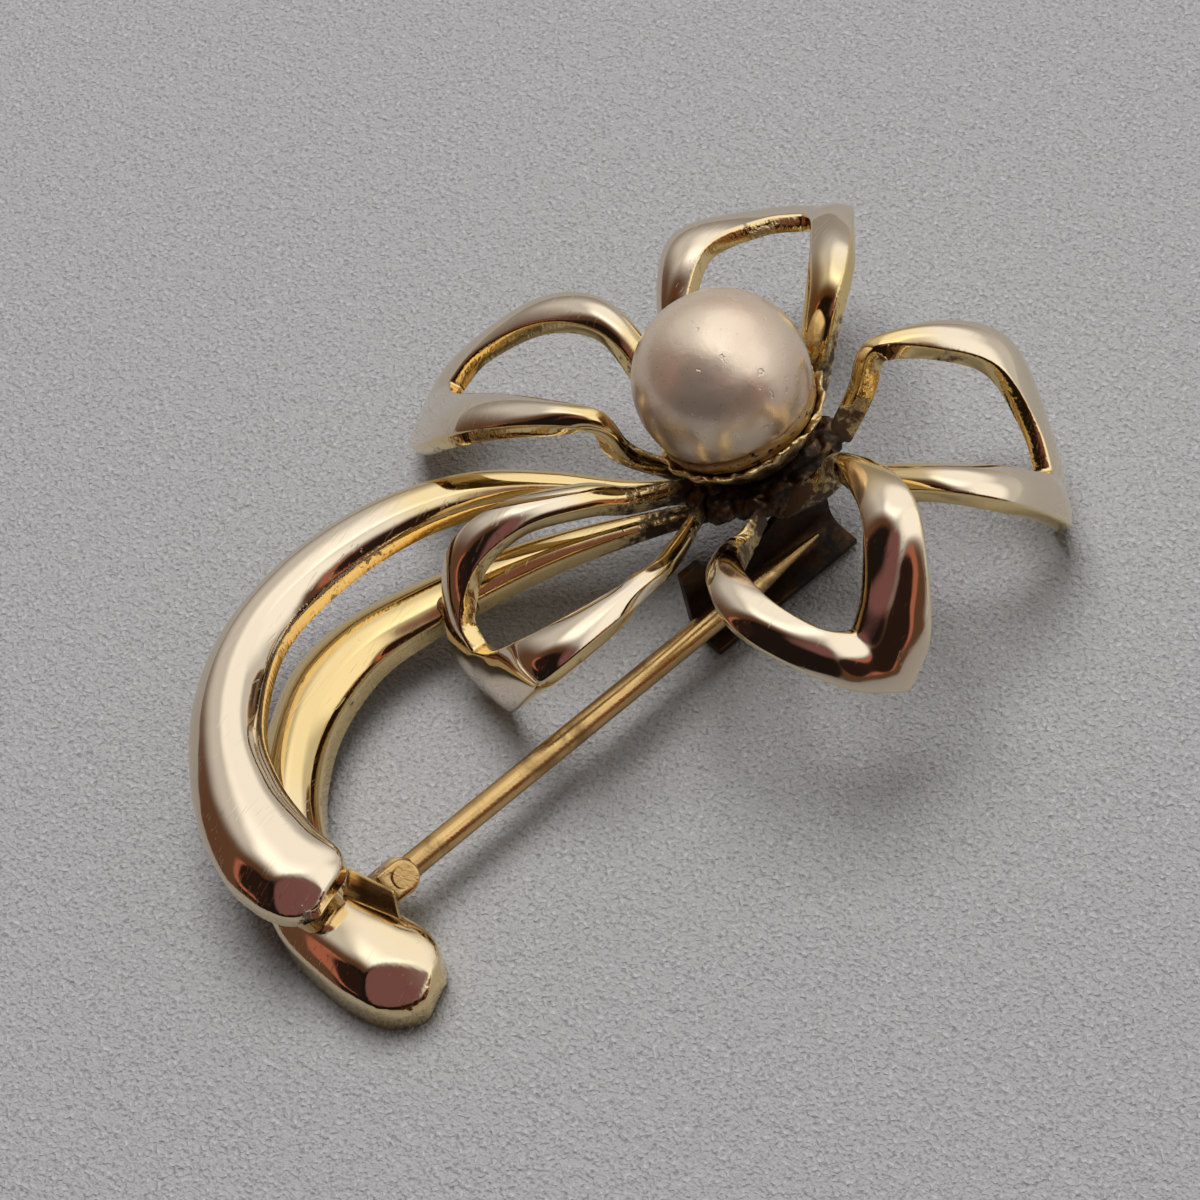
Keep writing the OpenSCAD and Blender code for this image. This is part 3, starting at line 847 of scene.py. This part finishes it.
class BROOCH_OT_cup(bpy.types.Operator):
    """Tear the rim of the crimped cup a little, tarnish it, and paint a highlight along its rim"""
    bl_idname = "brooch.cup"
    bl_label = "Cup"

    def execute(self, context):
        sizes = context.scene.brooch_sizes
        finish = context.scene.brooch_finish
        piece = copied_node("cup", "cup_crimped")
        apply_subdivision(piece, 2)
        middle = middle_of("pearl")
        axis = cup_axis()
        rim_highlights = []
        for point in piece.data.vertices:
            up = (point.co - middle).dot(axis)
            near_rim = ramp(up, RIM_FOOT, RIM_TORN)
            # Share of the painted highlight along the rim, for the material to read
            rim_highlights.append(ramp(up, RIM_FOOT, RIM_BRIGHT))
            lump = lump_at(point.co / RIM_LUMP)
            tear = noise.noise(point.co / RIM_TEAR + Vector((4.0, 2.0, 7.0)))
            point.co += axis * (near_rim * sizes.rim_rag * (lump + tear))
            out = point.co - middle - axis * up
            point.co += out.normalized() * (near_rim * sizes.rim_rag * 0.5 * lump)
        store(piece, "rim", rim_highlights)
        shade(piece, 50)
        # The rim is painted bright as a highlight, and the cup below it is darker
        material = dull_metal(
            "gilt cup", finish.gold, CUP_DARK, rough=0.2, grain=1100.0, lumps=0.00004,
            painted_highlight="rim")
        finish_piece(piece, material, "gilt_cup", "frame", "cup")
        return {"FINISHED"}


class BROOCH_OT_glue(bpy.types.Operator):
    """Give the ring of glue its amber, its specks and its uneven edge"""
    bl_idname = "brooch.glue"
    bl_label = "Glue"

    def execute(self, context):
        finish = context.scene.brooch_finish
        material, tree, shader = new_material("glue")
        place = add_node(tree, "ShaderNodeTexCoord", -6, 0).outputs["Object"]
        cloud = noise_at(tree, place, -5, 1, 700.0, 3.0)
        specks = noise_at(tree, place, -5, -1, 3300.0, 2.0, 0.5, 0.3)
        amber = mixed(
            tree, spread(tree, cloud, -4, 1, 0.35, 0.7), finish.glue, GLUE_PALE, -2, 1)
        dots = spread(tree, specks, -4, -1, 0.60, 0.66)
        colour = mixed(tree, dots, amber, GLUE_SPECK, 0, 1)
        height = sums(tree, "SUBTRACT", cloud, dots, 0, -1)
        shader.inputs["Roughness"].default_value = 0.28
        shader.inputs["Coat Weight"].default_value = 0.6
        wire_shader(tree, shader, height, 0.00005, Base_Color=colour)
        piece = copied_node("glue_bed", "glue_ring")
        apply_subdivision(piece, 2, plain=True)
        bead = self.bead_of_glue()
        activate(piece)
        bead.select_set(True)
        bpy.ops.object.join()
        roughen(piece, height=0.00004, grain=0.0006, seed=8)
        shade(piece, 50)
        finish_piece(piece, material, "glue", "frame", "glue_bed")
        return {"FINISHED"}

    def bead_of_glue(self):
        """Glue that was pressed out of the cup, as a ragged ring that clings to the pearl."""
        low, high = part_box("pearl")
        radius = (high.z - low.z) / 2
        middle = middle_of("pearl")
        axis = cup_axis()
        deselect_all()
        bpy.ops.mesh.primitive_torus_add(
            major_segments=96, minor_segments=16, major_radius=GLUE_RING * MM,
            minor_radius=GLUE_HALF * MM, location=middle - axis * (GLUE_BELOW * MM),
            rotation=axis.to_track_quat("Z", "Y").to_euler())
        bead = bpy.context.object
        bpy.ops.object.transform_apply(location=True, rotation=True, scale=True)
        for point in bead.data.vertices:
            rag = lump_at(point.co / (GLUE_RAG_WIDTH * MM))
            point.co += axis * (rag * GLUE_RAG * MM)
            out = point.co - middle
            thin = radius + (out.length - radius) * GLUE_LEFT
            point.co = middle + out.normalized() * thin
        return bead


class BROOCH_OT_pearl(bpy.types.Operator):
    """Give the pearl its soft cream skin with fine pits, and a darker golden edge of painted shade and
    painted reflection
    """
    bl_idname = "brooch.pearl"
    bl_label = "Pearl"

    def execute(self, context):
        finish = context.scene.brooch_finish
        material, tree, shader = new_material("pearl")
        place = add_node(tree, "ShaderNodeTexCoord", -6, 0).outputs["Object"]
        facing = add_node(tree, "ShaderNodeLayerWeight", -3, 2, Blend=0.35)
        slow = noise_at(tree, place, -5, 1, 300.0, 2.0)
        pits = noise_at(tree, place, -5, -1, 2400.0, 2.0, 0.5)
        pits = spread(tree, pits, -4, -1, 0.66, 0.74)
        skin = noise_at(tree, place, -5, -2, 2400.0, 3.0, 0.55)
        rose = mixed(
            tree, spread(tree, slow, -3, 1, 0.35, 0.65), finish.pearl, PEARL_ROSE, -1, 1)
        # Towards its edge the skin turns to painted shade and a painted golden reflection
        colour = mixed(tree, facing.outputs["Facing"], rose, PEARL_EDGE_SHADE_REFLECTION, 1, 2)
        height = sums(tree, "SUBTRACT", sums(tree, "MULTIPLY", skin, 0.7, -3, -2), pits, -2, -1)
        shader.inputs["Metallic"].default_value = 0.7
        shader.inputs["Coat Weight"].default_value = 0.5
        shader.inputs["Coat Roughness"].default_value = 0.13
        rough = spread(tree, skin, 1, 0, 0.3, 0.7, 0.27, 0.34)
        wire_shader(tree, shader, height, 0.00002, Base_Color=colour, Roughness=rough)
        piece = copied_node("pearl", "pearl_skin")
        roughen(piece, height=0.00001, grain=0.002, seed=2)
        shade(piece, 60)
        finish_piece(piece, material, "pearl", "frame", "pearl")
        return {"FINISHED"}


class BROOCH_OT_catch(bpy.types.Operator):
    """Round the cut edges of the sheet catch, and dull it to a brown that painted shade darkens
    further
    """
    bl_idname = "brooch.catch"
    bl_label = "Catch"

    def execute(self, context):
        sizes = context.scene.brooch_sizes
        # Dull brown with dark patches, darkened further by painted shade
        material = dull_metal(
            "catch sheet", CATCH_BROWN_SHADED, CATCH_DARK_SHADED, rough=0.36, grain=900.0, lumps=0.00005)
        piece = copied_node("catch", "catch_sheet_metal")
        bevel(piece, sizes.edge_round, segments=3)
        shade(piece, 30)
        finish_piece(piece, material, "catch_sheet", "frame", "catch")
        return {"FINISHED"}


class BROOCH_OT_pin(bpy.types.Operator):
    """Give the pin, its rivet and its bracket their dull drawn gold"""
    bl_idname = "brooch.pin"
    bl_label = "Pin and hinge"

    def execute(self, context):
        sizes = context.scene.brooch_sizes
        finish = context.scene.brooch_finish
        material, tree, shader = new_material("pin gold")
        place = add_node(tree, "ShaderNodeTexCoord", -6, 0).outputs["Object"]
        along = turned(tree, place, -5, 0, (0, 0, -PIN_TURN), (350, 9000, 9000))
        lines = noise_at(tree, along, -4, 0, 1.0, 3.0, 0.6)
        cloud = noise_at(tree, place, -4, 2, 650.0, 4.0, 0.6, 0.5)
        stain = spread(tree, cloud, -2, 2, 0.45, 0.72)
        colour = mixed(tree, stain, finish.wire_gold, WIRE_STAIN, 0, 2)
        rough = spread(tree, cloud, 0, 0, 0.3, 0.7, 0.16, 0.32)
        shader.inputs["Metallic"].default_value = 1.0
        wire_shader(tree, shader, lines, 0.00001, Base_Color=colour, Roughness=rough)
        for node in ("pin_stem", "hinge_rivet"):
            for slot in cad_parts[node].material_slots:
                slot.material = material
        bracket = copied_node("hinge_bracket", "hinge_bracket_folded")
        bevel(bracket, sizes.edge_round * 2, segments=3)
        shade(bracket, 35)
        finish_piece(bracket, material, "pin_gilt", "frame", "hinge_bracket")
        self.fold_tab(material)
        return {"FINISHED"}

    def fold_tab(self, material):
        """A folded sheet that closes the corner between the bracket and the lower stem."""
        deselect_all()
        bpy.ops.mesh.primitive_grid_add(x_subdivisions=12, y_subdivisions=8, size=2.0)
        tab = bpy.context.object
        tab.name = "hinge_tab"
        corners = [Vector(c) * MM for c in HINGE_TAB]
        for point in tab.data.vertices:
            u = (point.co.x + 1) / 2
            v = (point.co.y + 1) / 2
            top = corners[0].lerp(corners[1], u)
            foot = corners[2].lerp(corners[3], u)
            bulge = Vector(TAB_BULGE_WAY) * (math.sin(math.pi * v) * TAB_BULGE * MM)
            point.co = foot.lerp(top, v) + bulge
        activate(tab)
        sheet = tab.modifiers.new("Sheet", "SOLIDIFY")
        sheet.thickness = TAB_SHEET * MM
        sheet.offset = 0.0
        bpy.ops.object.modifier_apply(modifier=sheet.name)
        bevel(tab, 0.06 * MM, segments=2)
        shade(tab, 40)
        finish_piece(tab, material, "pin_gilt", "frame")


class BROOCH_OT_joint(bpy.types.Operator):
    """Bridge the gap between the fifth petal and the lower stem with a neck of solder"""
    bl_idname = "brooch.joint"
    bl_label = "Solder neck"

    def execute(self, context):
        finish = context.scene.brooch_finish
        low_end, high_end = (Vector(end) for end in NECK_ENDS)
        beads = solder_balls(
            (low_end.lerp(high_end, share), radius) for share, radius in NECK_BEADS)
        melt_together(beads, voxel=0.00007, passes=6)
        piece = beads[0]
        piece.name = "solder_neck"
        roughen(piece, height=0.00004, grain=0.0003, seed=6)
        shade(piece, 60)
        material = dull_metal(
            "solder neck", finish.gold, NECK_DARK, rough=0.2, grain=1200.0, lumps=0.00002)
        finish_piece(piece, material, "gilt_petal", "frame")
        return {"FINISHED"}


# The table, the light and the camera

def build_sky(strength):
    """The room as the metal shows it, dimmer for the light that falls on dull surfaces."""
    world = bpy.data.worlds.new("Room")
    bpy.context.scene.world = world
    world.use_nodes = True
    tree = world.node_tree
    background = next(n for n in tree.nodes if n.type == "BACKGROUND")
    way = add_node(tree, "ShaderNodeTexCoord", -18, 0).outputs["Generated"]
    room = ROOM_COLOUR
    for row, (direction, begins, full, colour) in enumerate(ROOM_AREAS):
        nearness = add_node(tree, "ShaderNodeVectorMath", -17, row, operation="DOT_PRODUCT")
        nearness.inputs[1].default_value = Vector(direction).normalized()
        join(tree, (way, nearness.inputs[0]))
        area = spread(tree, nearness.outputs["Value"], -16, row, begins, full)
        room = mixed(tree, area, room, colour, -15 + row, row)
    dull = add_node(tree, "ShaderNodeLightPath", 0, -2).outputs["Is Diffuse Ray"]
    power = spread(tree, dull, 1, -2, 0.0, 1.0, strength, strength * ROOM_ON_DULL, soft=False)
    join(tree, (power, background.inputs["Strength"]))
    join(tree, (room, background.inputs["Color"]))


def build_camera(stage):
    """The camera at the photograph's angle and roll."""
    data = bpy.data.cameras.new("Camera")
    camera = bpy.data.objects.new("Camera", data)
    bpy.context.scene.collection.objects.link(camera)
    data.sensor_width = 36.0
    data.lens = stage.camera_lens
    data.clip_start = 0.005
    data.clip_end = 20.0
    data.dof.use_dof = False
    turn = stage.camera_azimuth
    rise = stage.camera_elevation
    out = Vector((math.sin(turn) * math.cos(rise), -math.cos(turn) * math.cos(rise),
                  math.sin(rise)))
    right = Vector((math.cos(turn), math.sin(turn), 0))
    up = out.cross(right)
    c = math.cos(stage.camera_roll)
    s = math.sin(stage.camera_roll)
    tilted_right = right * c - up * s
    tilted_up = right * s + up * c
    axes = Matrix((tilted_right, tilted_up, out)).transposed().to_4x4()
    place = Vector(stage.camera_target) + out * stage.camera_distance
    camera.matrix_world = Matrix.Translation(place) @ axes
    bpy.context.scene.camera = camera


def build_table(colour):
    """A wide plain table with the fine pebbled skin of moulded plastic, with painted shade in the
    hollows between the pebbles and painted glints on their tops.
    """
    deselect_all()
    bpy.ops.mesh.primitive_plane_add(size=4.0, location=(0, 0, 0))
    table = bpy.context.object
    table.name = "table_top"
    material, tree, shader = new_material("table")
    place = add_node(tree, "ShaderNodeTexCoord", -6, 0).outputs["Object"]
    pebbles = noise_at(tree, place, -4, 0, 5200.0, 1.5, 0.45, 0.4)
    swell = noise_at(tree, place, -4, -1, 1500.0, 1.0, 0.4)
    relief = sums(tree, "ADD", pebbles, sums(tree, "MULTIPLY", swell, 0.8, -3, -1), -2, -1)
    # Painted shade in the hollows between the pebbles
    crease_shade = spread(tree, pebbles, -3, 1, 0.30, 0.44, 1.0, 0.0)
    # Painted glints on the tops of the pebbles
    glints = spread(tree, pebbles, -3, 1.5, 0.56, 0.70)
    tone = noise_at(tree, place, -4, 2, 9.0, 2.0)
    shader.inputs["Roughness"].default_value = 0.36
    paint = mixed(tree, tone, [c * 0.97 for c in colour], [c * 1.03 for c in colour], -2, 2)
    paint = mixed(tree, crease_shade, paint, [c * 0.72 for c in colour], -1, 2)
    paint = mixed(tree, glints, paint, [c * 1.28 for c in colour], 0, 2)
    wire_shader(tree, shader, relief, 0.00016, Base_Color=paint)
    table.data.materials.append(material)


def build_window(power):
    """One large soft light, high at the back and a little to the left. Reflections leave it
    out, so polished pieces show only the room."""
    data = bpy.data.lights.new("Window", "AREA")
    data.shape = "RECTANGLE"
    data.size = 0.5
    data.size_y = 0.5
    data.energy = power
    data.color = (1.0, 0.99, 0.97)
    light = bpy.data.objects.new("Window", data)
    bpy.context.scene.collection.objects.link(light)
    direction = Vector((-0.30, 0.34, 1.0)).normalized()
    light.location = direction * 0.8
    light.rotation_euler = direction.to_track_quat("Z", "Y").to_euler()
    light.visible_glossy = False


class BROOCH_OT_stage(bpy.types.Operator):
    """Add the table, the soft light and the camera at the photograph's angle"""
    bl_idname = "brooch.stage"
    bl_label = "Table, light and camera"

    def execute(self, context):
        stage = context.scene.brooch_stage
        build_camera(stage)
        build_table(stage.table)
        build_sky(stage.sky)
        build_window(stage.window)
        context.scene.view_settings.view_transform = "Standard"
        return {"FINISHED"}


class BROOCH_PT_panel(bpy.types.Panel):
    """Sizes, finish and steps of the flower brooch"""
    bl_idname = "BROOCH_PT_panel"
    bl_label = "Flower brooch"
    bl_space_type = "VIEW_3D"
    bl_region_type = "UI"
    bl_category = "Brooch"

    def draw(self, context):
        scene = context.scene
        for group in (scene.brooch_sizes, scene.brooch_finish, scene.brooch_stage):
            column = self.layout.column(align=True)
            for name in group.__annotations__:
                column.prop(group, name)
        column = self.layout.column(align=True)
        for step in STEPS:
            column.operator(step.bl_idname)


STEPS = (
    BROOCH_OT_stage, BROOCH_OT_petals, BROOCH_OT_stems, BROOCH_OT_hub, BROOCH_OT_cup,
    BROOCH_OT_glue, BROOCH_OT_pearl, BROOCH_OT_catch, BROOCH_OT_pin, BROOCH_OT_joint,
)
CLASSES = (BroochSizes, BroochFinish, BroochStage) + STEPS + (BROOCH_PT_panel,)


def register():
    for item in CLASSES:
        bpy.utils.register_class(item)
    bpy.types.Scene.brooch_sizes = PointerProperty(type=BroochSizes)
    bpy.types.Scene.brooch_finish = PointerProperty(type=BroochFinish)
    bpy.types.Scene.brooch_stage = PointerProperty(type=BroochStage)


def unregister():
    del bpy.types.Scene.brooch_stage
    del bpy.types.Scene.brooch_finish
    del bpy.types.Scene.brooch_sizes
    for item in reversed(CLASSES):
        bpy.utils.unregister_class(item)


def main():
    register()
    bpy.ops.brooch.stage()
    bpy.ops.brooch.petals()
    bpy.ops.brooch.stems()
    bpy.ops.brooch.hub()
    bpy.ops.brooch.cup()
    bpy.ops.brooch.glue()
    bpy.ops.brooch.pearl()
    bpy.ops.brooch.catch()
    bpy.ops.brooch.pin()
    bpy.ops.brooch.joint()
    bpy.context.view_layer.update()


if __name__ == "__main__":
    main()
